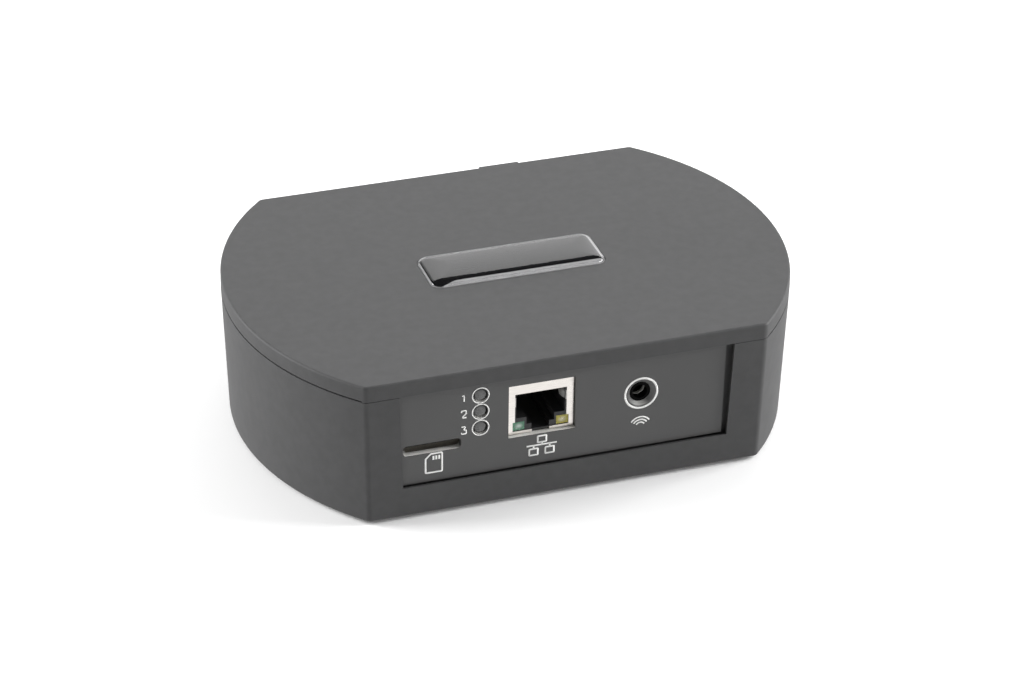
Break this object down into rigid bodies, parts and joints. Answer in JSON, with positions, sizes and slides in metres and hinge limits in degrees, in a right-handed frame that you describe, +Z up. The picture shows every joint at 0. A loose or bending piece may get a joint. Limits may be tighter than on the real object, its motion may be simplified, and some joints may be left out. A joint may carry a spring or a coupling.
{
  "type": "wireless audio transmitter",
  "caption": "Flat bow-sided desk-top wireless audio transmitter with a recessed front panel of card slot, status lights, network and infrared jacks, and audio and power sockets behind.",
  "frame": {"origin": "middle of the whole part in plan, line inputs included, on the plane its feet stand on", "axes": "+X to the right as seen from the front, +Y from the front panel to the rear, +Z up"},
  "size_m": [0.137, 0.1024, 0.0388],
  "materials": {
    "case_plastic": "dark grey, fine moulded texture",
    "panel_paint": "dark grey paint on sheet metal",
    "badge_print": "near-black printed foil",
    "badge_resin": "clear domed resin",
    "screw_steel": "zinc plated",
    "foot_rubber": "matte black",
    "board_mask": "black solder mask",
    "shield_metal": "nickel-plated sheet",
    "socket_black": "black moulding",
    "contact_gold": "gold flash",
    "contact_nickel": "bright nickel",
    "spring_steel": "drawn wire",
    "light_clear": "clear moulded lens",
    "network_green": "pale clear window",
    "network_yellow": "pale clear window",
    "insert_white": "white moulding",
    "insert_red": "red moulding",
    "receiver_clear": "dark red clear moulding",
    "shutter_plastic": "dark grey moulding",
    "button_plastic": "black cap",
    "chip_black": "moulded chip body",
    "sink_aluminium": "black anodised",
    "ferrite": "pressed ferrite",
    "can_aluminium": "bright can"
  },
  "bodies": {
    "case": {"antenna": "contact_nickel", "audio_converter": "chip_black", "badge_dome": "badge_resin", "badge_foil": "badge_print", "base_shell": "case_plastic", "board_screws": "screw_steel", "button_spring": "spring_steel", "button_switch": "socket_black", "capacitors": "can_aluminium", "card_contacts": "contact_gold", "card_cover": "shield_metal", "card_frame": "socket_black", "card_spring": "spring_steel", "case_screws": "screw_steel", "crystal": "shield_metal", "foot_front_left": "foot_rubber", "foot_front_right": "foot_rubber", "foot_rear_left": "foot_rubber", "foot_rear_right": "foot_rubber", "front_panel": "panel_paint", "heat_sink": "sink_aluminium", "infrared_contacts": "contact_nickel", "infrared_jack": "socket_black", "lid_shell": "case_plastic", "light_holder": "socket_black", "line_block": "socket_black", "line_centre_red": "contact_gold", "line_centre_white": "contact_gold", "line_insert_red": "insert_red", "line_insert_white": "insert_white", "line_shell_red": "contact_nickel", "line_shell_white": "contact_nickel", "main_board": "board_mask", "memory_chips": "chip_black", "network_chip": "chip_black", "network_contacts": "contact_gold", "network_insert": "socket_black", "network_light_green": "network_green", "network_light_yellow": "network_yellow", "network_shield": "shield_metal", "optical_input": "socket_black", "optical_receiver": "receiver_clear", "power_inductor": "ferrite", "power_inlet": "socket_black", "power_pin": "contact_nickel", "processor": "chip_black", "radio_can": "shield_metal", "radio_module": "board_mask", "rear_panel": "panel_paint", "regulator": "chip_black", "status_light_lower": "light_clear", "status_light_middle": "light_clear", "status_light_upper": "light_clear"},
    "pairing_button": {"pairing_button": "button_plastic"},
    "optical_shutter": {"optical_shutter": "shutter_plastic"},
    "card_slider": {"card_slider": "socket_black"}
  },
  "joints": [
    {"name": "pairing_button_slide", "type": "slide", "parent": "case", "child": "pairing_button", "axis": [0, -1, 0], "range_m": [0, 0.0012], "stiffness_N_per_m": 500, "springref_m": -0.0008, "deforming": ["button_spring"]},
    {"name": "shutter_hinge", "type": "hinge", "parent": "case", "child": "optical_shutter", "pos_m": [-0.00201, 0.0404, 0.0256], "axis": [-1, 0, 0], "range_deg": [0, 85], "stiffness_Nm_per_rad": 0.00002, "springref_deg": -28.65},
    {"name": "card_slider_slide", "type": "slide", "parent": "case", "child": "card_slider", "axis": [0, 1, 0], "range_m": [0, 0.0014], "stiffness_N_per_m": 300, "springref_m": -0.0008, "deforming": ["card_spring"]}
  ]
}
